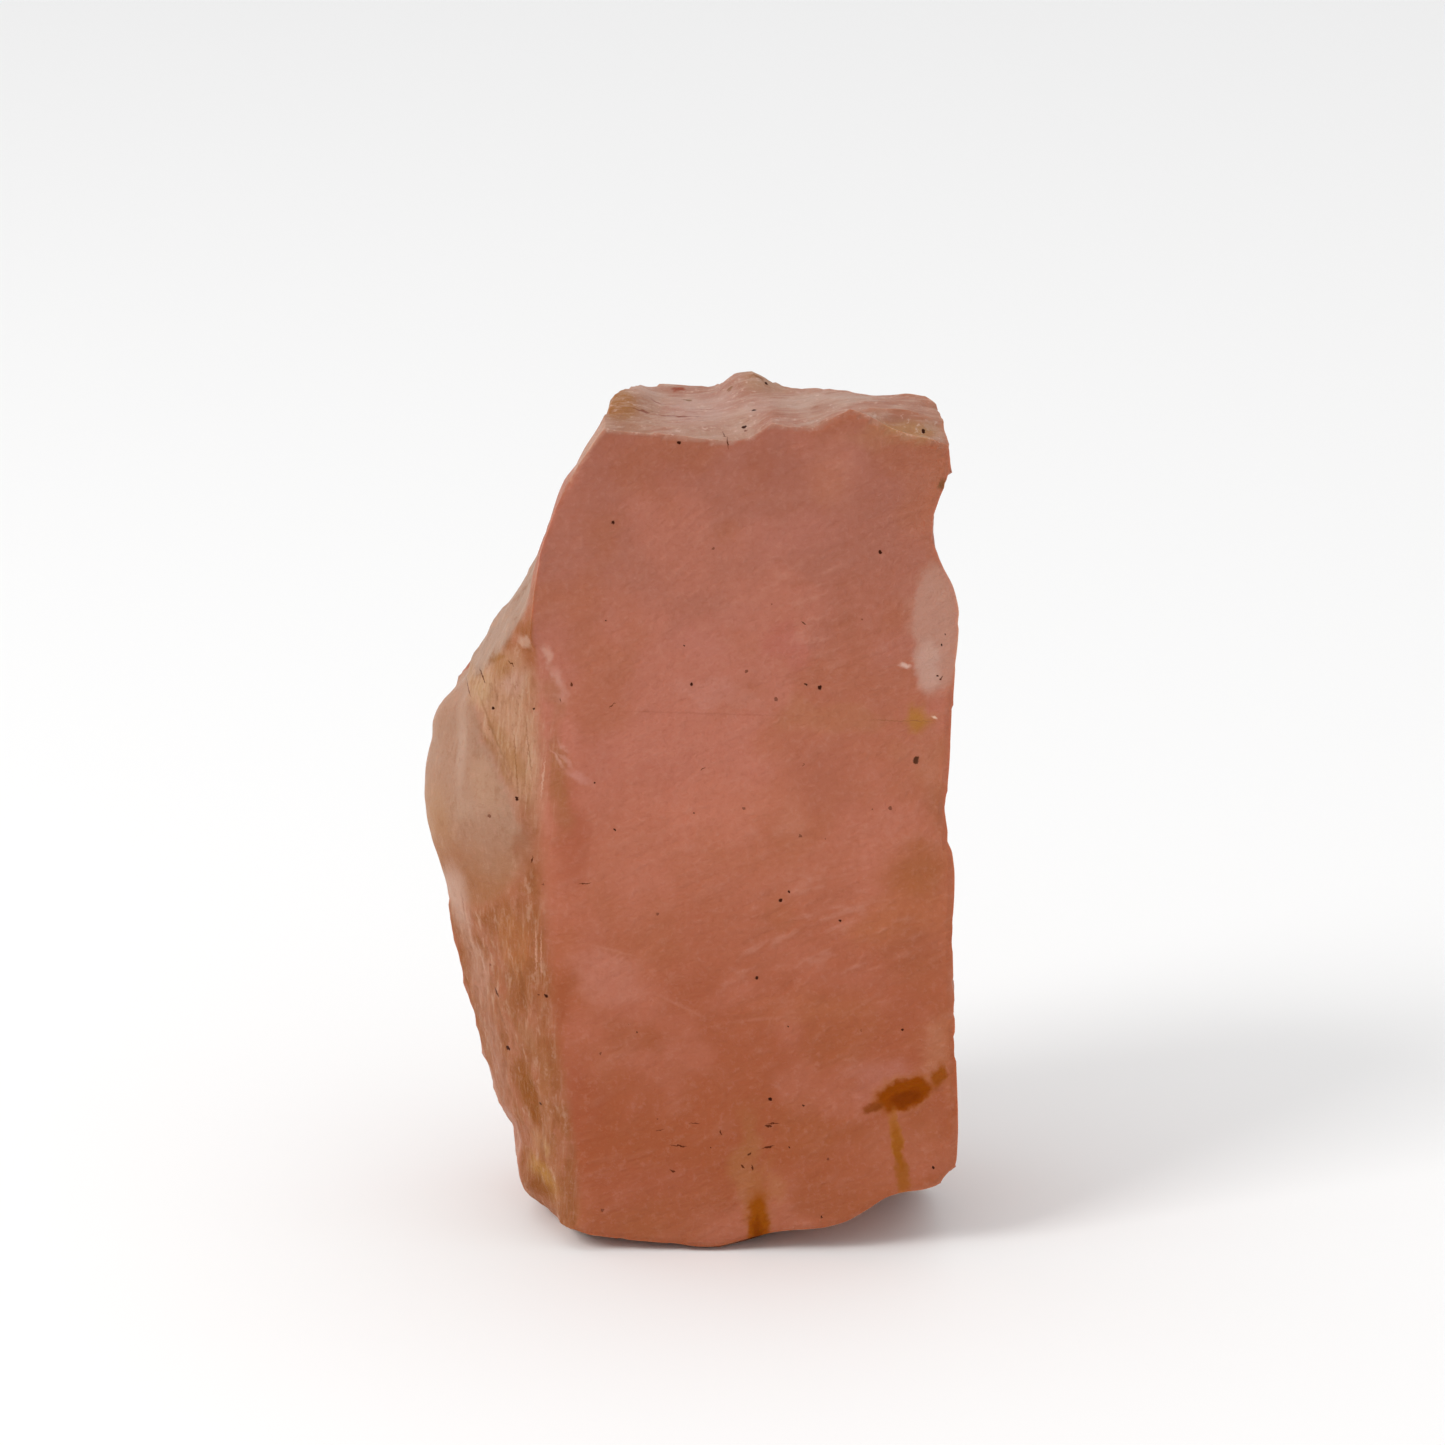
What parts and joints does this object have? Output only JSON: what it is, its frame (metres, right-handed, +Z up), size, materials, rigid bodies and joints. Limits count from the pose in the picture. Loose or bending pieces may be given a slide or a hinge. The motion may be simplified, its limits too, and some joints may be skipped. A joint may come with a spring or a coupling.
{
  "type": "rose quartz specimen",
  "caption": "Tall broken lump of massive rose quartz with a broad flat front, a swollen left flank and rusty stains, standing on its flat base.",
  "frame": {"origin": "on the base plane, below the middle of the stone's bounding box", "axes": "+Z up the stone, -Y out of the broad flat front, +X to the right as the front is seen"},
  "size_m": [0.064, 0.0468, 0.1018],
  "materials": {
    "rose_quartz": "fresh fracture, dull to waxy, slightly translucent at thin edges"
  },
  "bodies": {
    "root": {"rose_quartz": "rose_quartz"}
  },
  "joints": []
}
